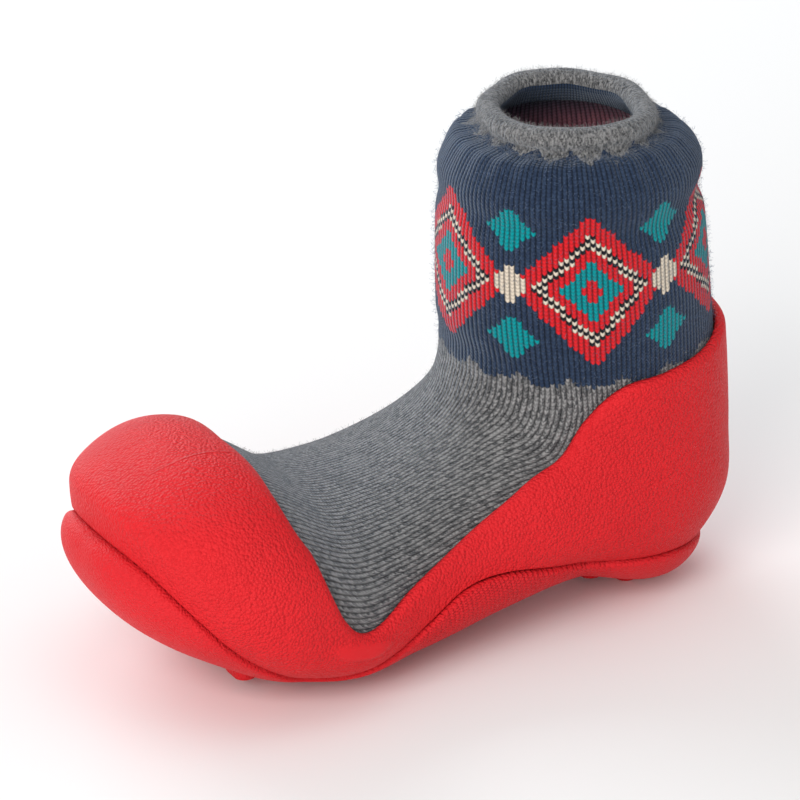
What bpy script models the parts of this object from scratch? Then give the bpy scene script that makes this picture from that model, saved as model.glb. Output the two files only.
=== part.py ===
"""Toddler's sock shoe for the right foot: a knitted sock moulded into a rubber shell and outsole.

The tables are in millimetres. +X runs from the heel to the toe, +Y to the wearer's left, which is the inner
side of this foot, and +Z up. The lugs stand on FLOOR, and the origin lies there under the middle of the
shoe's box.
"""
from math import pi

import bmesh
import bpy
import numpy as np

MM = 0.001

# Driving sizes
SOCK_WALL = 1.7
COLLAR_BEAD = 4.2
SHELL_WALL = 2.2
SHELL_LIP = 1.5
SEAT_GAP = 0.4
GROOVE_GAP = 0.7
SOLE_EDGE = 2.9
LIP_RUN = 4.5
INSOLE_THICKNESS = 2.2
INSOLE_GAP = 0.6
LUG_LENGTH = 7.6
LUG_WIDTH = 4.2
LUG_ROOT = 1.4
LUG_FOOT = 0.9
INSOLE_TOE = 12.0
INSOLE_HEEL = 94.0
INSOLE_HALF_ANGLE = 38.0
INSOLE_POWER = 3.0
FLOOR = 0.7
BOX_CENTRE = (63.73, 3.42, FLOOR)

# One row for each cross-section, from the toe tip around the heel to the collar. Front and back are the two
# ends of the section in the shoe's middle plane, widest is the share of the way from back to front where it
# is widest, the powers are the roundness of its upper and lower half, and side is how far its middle lies to
# the inner side.
# Columns: front_x, front_z, back_x, back_z, half_width, widest, top_power, low_power, side
SECTIONS = {
    "tip": (122.0, 42.2, 122.0, 15.0, 29.5, 0.79, 2.1, 2.3, 7.0),
    "toe": (110.0, 44.5, 110.0, 12.5, 30.8, 0.42, 2.3, 2.5, 5.6),
    "cap edge": (95.5, 39.6, 95.5, 6.4, 30.4, 0.35, 2.3, 2.7, 4.2),
    "ball": (85.0, 33.0, 85.0, 5.0, 29.6, 0.34, 2.2, 2.8, 3.0),
    "waist": (73.5, 31.3, 73.0, 6.4, 27.4, 0.34, 2.2, 2.8, 0.2),
    "instep": (63.5, 33.0, 56.0, 9.6, 25.2, 0.36, 2.2, 2.8, -1.0),
    "throat": (55.5, 37.6, 36.0, 10.8, 24.0, 0.42, 2.2, 2.6, -0.4),
    "heel under": (51.8, 45.0, 15.0, 6.2, 22.8, 0.46, 2.1, 2.4, 0.0),
    "heel back": (52.2, 50.5, 4.0, 16.0, 22.0, 0.5, 2.1, 2.2, 0.0),
    "heel top": (52.6, 54.9, 3.0, 27.0, 21.8, 0.5, 2.1, 2.1, 0.0),
    "ankle": (52.6, 59.4, 3.2, 40.0, 21.9, 0.5, 2.1, 2.1, 0.0),
    "shaft": (52.4, 67.2, 4.0, 54.0, 21.9, 0.5, 2.1, 2.1, 0.0),
    "cuff": (51.8, 75.5, 5.0, 68.0, 21.8, 0.5, 2.1, 2.1, 0.0),
    "shoulder": (50.8, 81.6, 6.4, 80.6, 21.4, 0.5, 2.1, 2.1, 0.0),
    "shoulder top": (48.2, 85.2, 9.6, 85.0, 19.4, 0.5, 2.1, 2.1, 0.0),
    "neck": (43.5, 86.0, 14.6, 85.8, 16.2, 0.5, 2.0, 2.0, 0.0),
    "rim": (43.0, 89.5, 15.0, 89.5, 15.9, 0.5, 2.0, 2.0, 0.0),
}
TOE_CLOSES_FROM = "cap edge"
TOE_POWER = 2.3

# The parting groove between shell and outsole, seen from the side. Columns: x, z
GROOVE = (
    (-8.0, 9.0), (15.0, 11.0), (33.0, 14.0), (45.0, 15.8), (55.0, 16.8), (64.0, 16.0), (72.0, 12.8),
    (80.0, 9.8), (87.0, 8.0), (94.0, 8.2), (101.0, 11.8), (108.0, 17.2), (115.0, 24.8), (120.0, 30.8),
    (126.0, 34.8), (134.0, 35.8))

# The shell's upper edge on the sock. Columns: distance from the toe tip, degrees around the sock from the top
CAP_EDGE = (
    (26.2, 0.0), (26.6, 20.0), (26.6, 35.0), (27.2, 49.0), (28.8, 61.0), (31.2, 74.0), (34.2, 85.0),
    (37.6, 90.6))
BAND_EDGE = (
    (37.6, 90.6), (41.8, 86.2), (48.0, 78.0), (60.0, 69.0), (73.0, 63.0), (88.0, 60.5), (104.0, 68.0),
    (114.5, 83.5), (119.5, 104.0), (123.5, 128.0), (127.0, 155.0), (128.2, 180.0))

# The outsole along the shoe. Columns: distance from the toe tip, thickness
TREAD = (
    (0.0, 6.4), (8.0, 6.4), (16.0, 5.0), (26.0, 3.8), (42.0, 3.6), (60.0, 5.0), (78.0, 5.0), (95.0, 4.4),
    (110.0, 4.4))

# Rows of pill-shaped lugs across the sole.
# Columns: place along the shoe, count, spacing, middle of the row, height
LUG_ROWS = (
    (101.0, 3, 10.2, 4.4, 0.9), (94.0, 3, 10.2, 4.0, 1.0), (87.0, 3, 10.2, 3.4, 1.2),
    (80.0, 3, 10.2, 2.0, 1.1), (29.0, 2, 10.2, 0.0, 1.2), (22.0, 2, 10.2, 0.0, 2.0),
    (15.0, 2, 10.2, 0.0, 2.0))

# Mesh density
TOP_STEPS = 14
LOW_STEPS = 24
TOE_RINGS = 7
SOCK_RINGS = 25
CAP_COLUMNS = 12
BAND_COLUMNS = 22
FACE_ROWS = 7
SEAT_ROWS = 13
SOLE_RINGS = 29
SOLE_COLUMNS = 14
INSOLE_RINGS = 18
INSOLE_COLUMNS = 8
BEAD_STEPS = 5
LINE_STEPS = 240
NORMAL_REACH = 0.4
PILL_ARC_STEPS = 4

# Linear colours from the photograph
RED = (0.76, 0.022, 0.034, 1.0)
DEEP_RED = (0.62, 0.018, 0.028, 1.0)
HEATHER = (0.075, 0.078, 0.085, 1.0)
ROSE = (0.42, 0.09, 0.10, 1.0)


def smooth(places, rows, at):
    """Rows read at any place along a smooth curve through the table."""
    places = np.asarray(places, float)
    rows = np.asarray(rows, float).reshape(len(places), -1)
    step = np.diff(places)
    slope = np.diff(rows, axis=0) / step[:, None]
    tangent = np.empty_like(rows)
    tangent[0] = slope[0]
    tangent[-1] = slope[-1]
    share = (step[:-1] / (step[:-1] + step[1:]))[:, None]
    tangent[1:-1] = slope[:-1] * (1 - share) + slope[1:] * share
    at = np.clip(np.asarray(at, float), places[0], places[-1])
    i = np.clip(np.searchsorted(places, at, side="right") - 1, 0, len(places) - 2)
    gap = step[i][..., None]
    u = ((at - places[i]) / step[i])[..., None]
    start = (1 + 2 * u) * (1 - u) ** 2 * rows[i] + u * (1 - u) ** 2 * gap * tangent[i]
    return start + u * u * (3 - 2 * u) * rows[i + 1] + u * u * (u - 1) * gap * tangent[i + 1]


SECTION_ROWS = np.array(list(SECTIONS.values()))
FRONT_STEPS = np.linalg.norm(np.diff(SECTION_ROWS[:, 0:2], axis=0), axis=1)
BACK_STEPS = np.linalg.norm(np.diff(SECTION_ROWS[:, 2:4], axis=0), axis=1)
DISTANCES = np.concatenate([[0.0], np.cumsum((FRONT_STEPS + BACK_STEPS) / 2)])
STATION = dict(zip(SECTIONS, DISTANCES))
TOE_LENGTH = STATION[TOE_CLOSES_FROM]


def sock_point(distance, angle):
    """Point of the sock's outer face at a distance from the toe tip and an angle around it from the top."""
    distance, angle = np.broadcast_arrays(np.asarray(distance, float), np.asarray(angle, float))
    closing = (1 - np.clip(distance / TOE_LENGTH, 0, 1)) * pi / 2
    in_toe = TOE_LENGTH * (1 - np.sin(closing) ** (2 / TOE_POWER))
    scale = np.cos(closing) ** (2 / TOE_POWER)
    rows = smooth(DISTANCES, SECTION_ROWS, np.where(distance < TOE_LENGTH, in_toe, distance))
    columns = np.moveaxis(rows, -1, 0)
    front_x, front_z, back_x, back_z, half_width, widest, top_power, low_power, side = columns
    up, out = np.cos(angle), np.sin(angle)
    power = np.where(up > 0, top_power, low_power)
    reach = scale * (np.abs(up) ** power + np.abs(out) ** power) ** (-1 / power)
    rise = widest + np.where(up > 0, 1 - widest, widest) * reach * up
    x = back_x + rise * (front_x - back_x)
    z = back_z + rise * (front_z - back_z)
    return np.stack([x, side + half_width * reach * out, z], -1)


def flat_place(distance, angle):
    """The sock unrolled around its toe tip, where the tip is an ordinary point."""
    return np.stack([distance * np.cos(angle), distance * np.sin(angle)], -1)


def from_flat(place):
    return np.hypot(place[..., 0], place[..., 1]), np.arctan2(place[..., 1], place[..., 0])


def offset_point(distance, angle, out):
    """Point that stands out from the sock's outer face along its normal."""
    place = flat_place(*np.broadcast_arrays(np.asarray(distance, float), np.asarray(angle, float)))
    tangents = []
    for step in ((0, NORMAL_REACH), (NORMAL_REACH, 0)):
        tangents.append(sock_point(*from_flat(place + step)) - sock_point(*from_flat(place - step)))
    normal = np.cross(*tangents)
    normal /= np.linalg.norm(normal, axis=-1, keepdims=True)
    return sock_point(*from_flat(place)) + normal * np.asarray(out, float)[..., None]


def groove_angle(distance, lift):
    """Angle around the sock where it meets the parting groove, moved up or down by lift."""
    columns = np.array(GROOVE)
    angles = np.linspace(pi / 3, pi, 500)
    found = []
    for place in np.atleast_1d(distance):
        points = sock_point(place, angles)
        above = points[:, 2] - smooth(columns[:, 0], columns[:, 1], points[:, 0])[:, 0] - lift
        below = np.flatnonzero(above <= 0)
        if len(below) == 0:
            found.append(pi)
            continue
        i = max(below[0], 1)
        share = above[i - 1] / (above[i - 1] - above[i])
        found.append(angles[i - 1] + share * (angles[i] - angles[i - 1]))
    return np.array(found)


def groove_ends(lift):
    """Distances from the toe tip where the groove crosses the middle of the toe and of the heel."""
    trial = np.linspace(0.2, STATION["heel top"], 3000)
    meets = trial[groove_angle(trial, lift) < pi - 0.02]
    return meets[0], meets[-1]


def material(name, colour, roughness):
    finish = bpy.data.materials.new(name)
    finish.use_nodes = True
    shader = finish.node_tree.nodes["Principled BSDF"]
    shader.inputs["Base Color"].default_value = colour
    shader.inputs["Roughness"].default_value = roughness
    shader.inputs["Metallic"].default_value = 0.0
    return finish


def mesh_object(name, points, faces, finish):
    """Closed mesh from points in millimetres, its faces turned outwards and shaded smooth."""
    mesh = bpy.data.meshes.new(name)
    mesh.from_pydata(((np.asarray(points) - BOX_CENTRE) * MM).tolist(), [], faces)
    work = bmesh.new()
    work.from_mesh(mesh)
    bmesh.ops.recalc_face_normals(work, faces=work.faces)
    bmesh.ops.triangulate(work, faces=work.faces)
    work.to_mesh(mesh)
    work.free()
    mesh.shade_smooth()
    mesh.set_sharp_from_angle(angle=pi / 4)
    mesh.materials.append(finish)
    item = bpy.data.objects.new(name, mesh)
    bpy.context.scene.collection.objects.link(item)
    return item


def skin(rings, poles=None):
    """Points and faces over rings of equal count, either closed on itself or ending in two pole points."""
    count, around = len(rings), len(rings[0])
    points = np.concatenate(rings)
    faces = []
    for i in range(count if poles is None else count - 1):
        here, there = i * around, (i + 1) % count * around
        for k in range(around):
            m = (k + 1) % around
            faces.append((here + k, there + k, there + m, here + m))
    if poles is not None:
        first, last, end = len(points), len(points) + 1, (count - 1) * around
        points = np.concatenate([points, poles])
        for k in range(around):
            m = (k + 1) % around
            faces.append((first, k, m))
            faces.append((last, end + m, end + k))
    return points, faces


def ring_angles():
    """Angles around the sock, closer together along its lower corners."""
    top = np.linspace(-pi / 2, pi / 2, TOP_STEPS, endpoint=False)
    low = np.linspace(pi / 2, 3 * pi / 2, LOW_STEPS, endpoint=False)
    return np.concatenate([top, low])


def sock_stations():
    """Distances of the sock's rings from the toe tip, evenly spread in the toe and beyond it."""
    toe = np.linspace(0, TOE_LENGTH, TOE_RINGS + 1)[1:]
    return np.concatenate([toe, np.linspace(TOE_LENGTH, STATION["rim"], SOCK_RINGS + 1)[1:-1]])


def build_sock(finish):
    """Hollow knitted upper, its wall thickened to a rolled bead at the collar."""
    angles = ring_angles()
    outer = [sock_point(d, angles) for d in sock_stations()]
    inner = [offset_point(d, angles, np.full(len(angles), -SOCK_WALL)) for d in sock_stations()[::-1]]
    radius = COLLAR_BEAD / 2
    wall_middle = offset_point(STATION["rim"] - radius / 2, angles, np.full(len(angles), -SOCK_WALL / 2))
    outward = wall_middle - wall_middle.mean(axis=0)
    outward /= np.linalg.norm(outward, axis=1, keepdims=True)
    bead = []
    for turn in np.linspace(-pi / 5, pi * 6 / 5, BEAD_STEPS):
        lean = np.cos(turn) * outward + np.sin(turn) * np.array((0.0, 0.0, 1.0))
        bead.append(wall_middle + radius * lean)
    poles = np.array([sock_point(0.0, 0.0), offset_point(0.0, 0.0, -SOCK_WALL)])
    return mesh_object("sock", *skin(outer + bead + inner, poles), finish)


def even_places(distance, angle, count):
    """Distances and angles evenly spaced along a line on the sock."""
    steps = np.linalg.norm(np.diff(sock_point(distance, angle), axis=0), axis=1)
    lengths = np.concatenate([[0.0], np.cumsum(steps)])
    even = np.linspace(0, lengths[-1], count)
    return np.interp(even, lengths, distance), np.interp(even, lengths, angle)


def edge_places(table, count):
    """Evenly spaced places along one stretch of the shell's upper edge."""
    columns = np.array(table) * (1, pi / 180)
    corners = sock_point(*columns.T)
    lengths = np.concatenate([[0.0], np.cumsum(np.linalg.norm(np.diff(corners, axis=0), axis=1))])
    return even_places(*smooth(lengths, columns, np.linspace(0, lengths[-1], LINE_STEPS)).T, count)


def groove_places(start, end, lift, count):
    """Evenly spaced places along one stretch of the parting groove."""
    distances = start + (end - start) * np.sin(np.linspace(0, pi / 2, LINE_STEPS))
    return even_places(distances, groove_angle(distances, lift), count)


def build_shell(finish):
    """Toe cap, side bands and heel counter, cut between the groove and the upper edge."""
    lift = GROOVE_GAP / 2
    toe, heel = groove_ends(lift)
    notch = CAP_EDGE[-1][0]
    runs = []
    for end, edge, count in ((toe, CAP_EDGE[::-1], CAP_COLUMNS + 1), (heel, BAND_EDGE, BAND_COLUMNS + 1)):
        runs.append(np.array([*groove_places(notch, end, lift, count), *edge_places(edge, count)]))
    cap, band = runs
    cap[1, -1] = pi
    band[1, -1] = pi
    face, seat = np.linspace(0, 1, FACE_ROWS + 1), np.linspace(1, 0, SEAT_ROWS + 1)
    thick = np.concatenate([np.full(len(face), 1.0), (0.85, 0.5)]) * SHELL_WALL
    out = np.concatenate([thick, np.full(len(seat), SEAT_GAP)])
    inner_side = []
    for over_toe, strips in ((True, cap[:, :0:-1]), (False, band)):
        for low_distance, low_angle, high_distance, high_angle in strips.T:
            low, high = np.array((low_distance, low_angle)), np.array((high_distance, high_angle))
            height = np.linalg.norm(sock_point(*high) - sock_point(*low))
            lip = min(SHELL_LIP / height, 0.2)
            up = np.concatenate([face * (1 - lip), (1 - 0.3 * lip, 1.0), seat])[:, None]
            if over_toe:
                place = from_flat(flat_place(*low) * (1 - up) + flat_place(*high) * up)
            else:
                place = np.moveaxis(low * (1 - up) + high * up, -1, 0)
            inner_side.append((*place, out))
    outer_side = [(distance, -angle, out) for distance, angle, out in inner_side[-2:0:-1]]
    return mesh_object("shell", *skin([offset_point(*place) for place in inner_side + outer_side]), finish)


def across_shares(columns):
    """Shares of the way from the middle of the sole to its edges, closer together near the edges."""
    return np.sin(np.linspace(-pi / 2, pi / 2, columns + 1))


def tray(name, distances, half_angles, inner, outer, finish):
    """Plate under the sock's own surface from one offset to another, coming to a point at both ends."""
    shares = across_shares(outer.shape[1] - 1)
    rings = []
    for distance, half, far in zip(distances, half_angles, outer):
        angles = pi + half * shares
        near_side = offset_point(distance, angles, np.full(len(angles), inner))
        rings.append(np.concatenate([near_side, offset_point(distance, angles[::-1], far[::-1])]))
    poles = [offset_point(distances[i], pi, (inner + outer[i].min()) / 2) for i in (0, -1)]
    return mesh_object(name, *skin(rings[1:-1], np.array(poles)), finish)


def build_outsole(finish):
    """Sole under the groove, with its arch, toe spring and bumper, rounded to its edge."""
    toe, heel = groove_ends(-GROOVE_GAP / 2)
    share = (1 - np.cos(np.linspace(0, pi, SOLE_RINGS + 1))) / 2
    distances = toe + (heel - toe) * (0.6 * share + 0.4 * np.linspace(0, 1, SOLE_RINGS + 1))
    half_angles = pi - groove_angle(distances, -GROOVE_GAP / 2)
    tread = np.array(TREAD)
    swell = smooth(tread[:, 0], tread[:, 1], distances) - SOLE_EDGE
    to_end = np.minimum(distances - toe, heel - distances)[:, None]
    rise = np.sqrt(1 - (1 - np.clip(to_end / LIP_RUN, 0, 1)) ** 2)
    bulge = np.sqrt(1 - across_shares(SOLE_COLUMNS) ** 4)
    return tray("outsole", distances, half_angles, SEAT_GAP, SOLE_EDGE + swell * rise * bulge, finish)


def sole_height(points, x, y):
    """Height over the floor of the sole's lower face around one place."""
    low = points[points[:, 2] < np.median(points[:, 2])]
    nearest = np.argsort(np.hypot(low[:, 0] - x, low[:, 1] - y))[:6]
    return low[nearest, 2].min()


def pill(x, y, size):
    """Outline of a lug, long across the shoe, at a share of its full size."""
    radius = size * LUG_WIDTH / 2
    straight = size * LUG_LENGTH / 2 - radius
    arc = np.linspace(0, pi, PILL_ARC_STEPS + 1)
    turn = np.concatenate([arc, arc + pi])
    end = np.repeat((straight, -straight), len(arc))
    return np.stack([x + radius * np.cos(turn), y + end + radius * np.sin(turn)], -1)


def add_lugs(outsole, finish):
    """Low pill-shaped lugs joined to the sole, flat where they reach the floor."""
    sole = np.array([corner.co for corner in outsole.data.vertices]) / MM + BOX_CENTRE
    points, faces = [], []
    for x, count, pitch, middle, height in LUG_ROWS:
        for place in range(count):
            y = middle + (place - (count - 1) / 2) * pitch
            sole_bottom = sole_height(sole, x, y)
            foot, top = max(FLOOR, sole_bottom - height), sole_bottom + LUG_ROOT
            rings = [np.column_stack([pill(x, y, size), np.full(2 * PILL_ARC_STEPS + 2, z)])
                     for z, size in ((foot, LUG_FOOT), (top, 1.0))]
            lug_points, lug_faces = skin(rings, np.array([(x, y, foot), (x, y, top)]))
            faces += [tuple(corner + len(points) for corner in face) for face in lug_faces]
            points += lug_points.tolist()
    lugs = mesh_object("lugs", points, faces, finish)
    lugs.hide_render = True
    lugs.display_type = "WIRE"
    union = outsole.modifiers.new("lugs", "BOOLEAN")
    union.operation = "UNION"
    union.solver = "EXACT"
    union.object = lugs


def build_insole(finish):
    """Foot bed on the bottom of the sock."""
    share = (1 - np.cos(np.linspace(0, pi, INSOLE_RINGS + 1))) / 2
    distances = INSOLE_TOE + (INSOLE_HEEL - INSOLE_TOE) * share
    spread = (1 - np.abs(2 * share - 1) ** INSOLE_POWER) ** (1 / INSOLE_POWER)
    half_angles = np.radians(INSOLE_HALF_ANGLE) * spread
    near = -SOCK_WALL - INSOLE_GAP
    outer = np.full((len(distances), INSOLE_COLUMNS + 1), near - INSOLE_THICKNESS)
    return tray("insole", distances, half_angles, near, outer, finish)


def main():
    for item in list(bpy.data.objects):
        bpy.data.objects.remove(item)
    build_sock(material("heather knit", HEATHER, 0.9))
    build_shell(material("red rubber", RED, 0.5))
    tread = material("red tread", DEEP_RED, 0.55)
    add_lugs(build_outsole(tread), tread)
    build_insole(material("rose foam", ROSE, 0.9))


main()
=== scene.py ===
"""The looks of a toddler's sock shoe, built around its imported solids.

Tables and sizes of the shoe are in millimetres in the shoe's own table frame: +X from the heel
to the toe, +Y to the inner side of this right shoe, +Z up. Meshes are in metres, moved so that
the shoe stands as the solids do.
"""
from functools import partial
from math import pi, radians

import bpy
import numpy as np
from mathutils import Matrix, Vector


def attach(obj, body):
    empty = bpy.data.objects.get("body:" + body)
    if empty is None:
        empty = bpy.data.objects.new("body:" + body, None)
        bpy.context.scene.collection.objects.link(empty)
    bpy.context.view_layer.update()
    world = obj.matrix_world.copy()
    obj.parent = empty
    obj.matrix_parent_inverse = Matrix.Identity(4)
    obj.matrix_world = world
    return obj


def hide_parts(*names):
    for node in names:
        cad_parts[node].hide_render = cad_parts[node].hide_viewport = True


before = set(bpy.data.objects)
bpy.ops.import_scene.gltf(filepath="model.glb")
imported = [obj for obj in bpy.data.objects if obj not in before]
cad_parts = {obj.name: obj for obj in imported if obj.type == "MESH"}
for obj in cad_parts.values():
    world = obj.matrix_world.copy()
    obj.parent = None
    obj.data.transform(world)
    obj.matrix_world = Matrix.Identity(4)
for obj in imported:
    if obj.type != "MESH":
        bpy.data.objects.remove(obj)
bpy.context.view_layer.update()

bl_info = {
    "name": "Sock shoe",
    "version": (1, 0, 0),
    "blender": (4, 5, 0),
    "location": "View3D > Sidebar > Sock shoe",
    "description": "Dresses a toddler's sock shoe: knitted sock, rubber shell, lugged sole and foot bed",
    "category": "Add Mesh",
}

MM = 0.001
BODY = "root"

# Where the middle of the solids' floor lies in the table frame
FLOOR = 0.7
BOX_CENTRE = np.array((63.73, 3.42, FLOOR))

# One row for each cross-section, from the toe tip around the heel to the collar.
# Columns: front_x, front_z, back_x, back_z, half_width, widest, top_power, low_power, side
SECTIONS = {
    "tip": (122.0, 42.2, 122.0, 15.0, 29.5, 0.79, 2.1, 2.3, 7.0),
    "toe": (110.0, 44.5, 110.0, 12.5, 30.8, 0.42, 2.3, 2.5, 5.6),
    "cap edge": (95.5, 39.6, 95.5, 6.4, 30.4, 0.35, 2.3, 2.7, 4.2),
    "ball": (85.0, 33.0, 85.0, 5.0, 29.6, 0.34, 2.2, 2.8, 3.0),
    "waist": (73.5, 31.3, 73.0, 6.4, 27.4, 0.34, 2.2, 2.8, 0.2),
    "instep": (63.5, 33.0, 56.0, 9.6, 25.2, 0.36, 2.2, 2.8, -1.0),
    "throat": (55.5, 37.6, 36.0, 10.8, 24.0, 0.42, 2.2, 2.6, -0.4),
    "heel under": (51.8, 45.0, 15.0, 6.2, 22.8, 0.46, 2.1, 2.4, 0.0),
    "heel back": (52.2, 50.5, 4.0, 16.0, 22.0, 0.5, 2.1, 2.2, 0.0),
    "heel top": (52.6, 54.9, 3.0, 27.0, 21.8, 0.5, 2.1, 2.1, 0.0),
    "ankle": (52.6, 59.4, 3.2, 40.0, 21.9, 0.5, 2.1, 2.1, 0.0),
    "shaft": (52.4, 67.2, 4.0, 54.0, 21.9, 0.5, 2.1, 2.1, 0.0),
    "cuff": (51.8, 75.5, 5.0, 68.0, 21.8, 0.5, 2.1, 2.1, 0.0),
    "shoulder": (50.8, 81.6, 6.4, 80.6, 21.4, 0.5, 2.1, 2.1, 0.0),
    "shoulder top": (48.2, 85.2, 9.6, 85.0, 19.4, 0.5, 2.1, 2.1, 0.0),
    "neck": (43.5, 86.0, 14.6, 85.8, 16.2, 0.5, 2.0, 2.0, 0.0),
    "rim": (43.0, 89.5, 15.0, 89.5, 15.9, 0.5, 2.0, 2.0, 0.0),
}
TOE_CLOSES_FROM = "cap edge"
TOE_POWER = 2.3

# The parting groove between shell and outsole, seen from the side. Columns: x, z
GROOVE = (
    (-8.0, 9.0), (15.0, 11.0), (33.0, 14.0), (45.0, 15.8), (55.0, 16.8), (64.0, 16.0), (72.0, 12.8),
    (80.0, 9.8), (87.0, 8.0), (94.0, 8.2), (101.0, 11.8), (108.0, 17.2), (115.0, 24.8), (120.0, 30.8),
    (126.0, 34.8), (134.0, 35.8))

# The shell's upper edge on the sock. Columns: distance from the toe tip, degrees from the top
CAP_EDGE = (
    (26.2, 0.0), (26.6, 20.0), (26.6, 35.0), (27.2, 49.0), (28.8, 61.0), (31.2, 74.0), (34.2, 85.0),
    (37.6, 90.6))
BAND_EDGE = (
    (37.6, 90.6), (41.8, 86.2), (48.0, 78.0), (60.0, 69.0), (73.0, 63.0), (88.0, 60.5), (104.0, 68.0),
    (114.5, 83.5), (119.5, 104.0), (123.5, 128.0), (127.0, 155.0), (128.2, 180.0))

# The outsole along the shoe. Columns: distance from the toe tip, thickness
TREAD = (
    (0.0, 6.4), (8.0, 6.4), (16.0, 5.0), (26.0, 3.8), (42.0, 3.6), (60.0, 5.0), (78.0, 5.0),
    (95.0, 4.4), (110.0, 4.4))

# Rows of lugs. Columns: place along the shoe, count, spacing, middle of the row, height
LUG_ROWS = (
    (101.0, 3, 10.2, 4.4, 0.9), (94.0, 3, 10.2, 4.0, 1.0), (87.0, 3, 10.2, 3.4, 1.2),
    (80.0, 3, 10.2, 2.0, 1.1), (29.0, 2, 10.2, 0.0, 1.2), (22.0, 2, 10.2, 0.0, 2.0),
    (15.0, 2, 10.2, 0.0, 2.0))

# Walls, gaps and edges. The groove between shell and sole is finer than the solids' own
SOCK_WALL = 1.7
COLLAR_BEAD = 4.2
SHELL_WALL = 2.2
SHELL_LIP = 1.5
SEAT_GAP = 0.4
GROOVE_GAP = 0.28
EDGE_ROUND = 0.25
SOLE_EDGE = 2.9
LIP_RUN = 4.5
LUG_LENGTH = 7.6
LUG_WIDTH = 4.2
LUG_ROOT = 1.4
INSOLE_THICKNESS = 2.2
INSOLE_GAP = 0.6
INSOLE_TOE = 12.0
INSOLE_HEEL = 94.0
INSOLE_HALF_ANGLE = 38.0
INSOLE_POWER = 3.0

# Points along a line and around a ring, and how far to each side a slope is read
LINE_STEPS = 240
RING_STEPS = 720
NORMAL_REACH = 0.4

# Search for the groove: highest angle, angles tried, first distance, distances tried, play at the middle
GROOVE_HIGHEST = pi / 3
GROOVE_ANGLES = 500
GROOVE_FROM = 0.2
GROOVE_DISTANCES = 3000
GROOVE_PLAY = 0.02


def smooth(places, rows, at):
    """Rows read at any place along a smooth curve through the table."""
    places = np.asarray(places, float)
    rows = np.asarray(rows, float).reshape(len(places), -1)
    step = np.diff(places)
    slope = np.diff(rows, axis=0) / step[:, None]
    tangent = np.empty_like(rows)
    tangent[0] = slope[0]
    tangent[-1] = slope[-1]
    share = (step[:-1] / (step[:-1] + step[1:]))[:, None]
    tangent[1:-1] = slope[:-1] * (1 - share) + slope[1:] * share
    at = np.clip(np.asarray(at, float), places[0], places[-1])
    i = np.clip(np.searchsorted(places, at, side="right") - 1, 0, len(places) - 2)
    gap = step[i][..., None]
    u = ((at - places[i]) / step[i])[..., None]
    start = (1 + 2 * u) * (1 - u) ** 2 * rows[i] + u * (1 - u) ** 2 * gap * tangent[i]
    return start + u * u * (3 - 2 * u) * rows[i + 1] + u * u * (u - 1) * gap * tangent[i + 1]


SECTION_ROWS = np.array(list(SECTIONS.values()))
FRONT_STEPS = np.linalg.norm(np.diff(SECTION_ROWS[:, 0:2], axis=0), axis=1)
BACK_STEPS = np.linalg.norm(np.diff(SECTION_ROWS[:, 2:4], axis=0), axis=1)
DISTANCES = np.concatenate([[0.0], np.cumsum((FRONT_STEPS + BACK_STEPS) / 2)])
STATION = dict(zip(SECTIONS, DISTANCES))
TOE_LENGTH = STATION[TOE_CLOSES_FROM]


def sock_point(distance, angle):
    """Point of the sock's outer face at a distance from the toe tip and an angle from the top."""
    distance, angle = np.broadcast_arrays(np.asarray(distance, float), np.asarray(angle, float))
    closing = (1 - np.clip(distance / TOE_LENGTH, 0, 1)) * pi / 2
    in_toe = TOE_LENGTH * (1 - np.sin(closing) ** (2 / TOE_POWER))
    along = np.where(distance < TOE_LENGTH, in_toe, distance)
    scale = np.cos(closing) ** (2 / TOE_POWER)
    columns = np.moveaxis(smooth(DISTANCES, SECTION_ROWS, along), -1, 0)
    front_x, front_z, back_x, back_z, half_width, widest, top_power, low_power, side = columns
    up, out = np.cos(angle), np.sin(angle)
    power = np.where(up > 0, top_power, low_power)
    reach = scale * (np.abs(up) ** power + np.abs(out) ** power) ** (-1 / power)
    rise = widest + np.where(up > 0, 1 - widest, widest) * reach * up
    x = back_x + rise * (front_x - back_x)
    y = side + half_width * reach * out
    z = back_z + rise * (front_z - back_z)
    return np.stack([x, y, z], -1)


def flat_place(distance, angle):
    """The sock unrolled around its toe tip, where the tip is an ordinary point."""
    return np.stack([distance * np.cos(angle), distance * np.sin(angle)], -1)


def from_flat(place):
    """Distance and angle of a place on the unrolled sock."""
    return np.hypot(place[..., 0], place[..., 1]), np.arctan2(place[..., 1], place[..., 0])


def slope_over(place, step):
    """How the sock's outer face moves over a step to both sides of a place on the unrolled sock."""
    return sock_point(*from_flat(place + step)) - sock_point(*from_flat(place - step))


def offset_point(distance, angle, out):
    """Point that stands out from the sock's outer face along its normal."""
    place = flat_place(*np.broadcast_arrays(np.asarray(distance, float), np.asarray(angle, float)))
    across = slope_over(place, np.array((NORMAL_REACH, 0.0)))
    around = slope_over(place, np.array((0.0, NORMAL_REACH)))
    normal = np.cross(around, across)
    normal /= np.linalg.norm(normal, axis=-1, keepdims=True)
    return sock_point(*from_flat(place)) + normal * np.asarray(out, float)[..., None]


def soft_step(low, high, value):
    """Smooth rise from 0 at low to 1 at high."""
    share = np.clip((np.asarray(value, float) - low) / (high - low), 0, 1)
    return share * share * (3 - 2 * share)


def eased(count):
    """Shares from 0 to 1 that crowd together at both ends."""
    return (1 - np.cos(np.linspace(0, pi, count + 1))) / 2


def across_plate(count):
    """Shares from -1 to 1 that crowd together at a plate's two edges."""
    return np.sin(np.linspace(-pi / 2, pi / 2, count))


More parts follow.
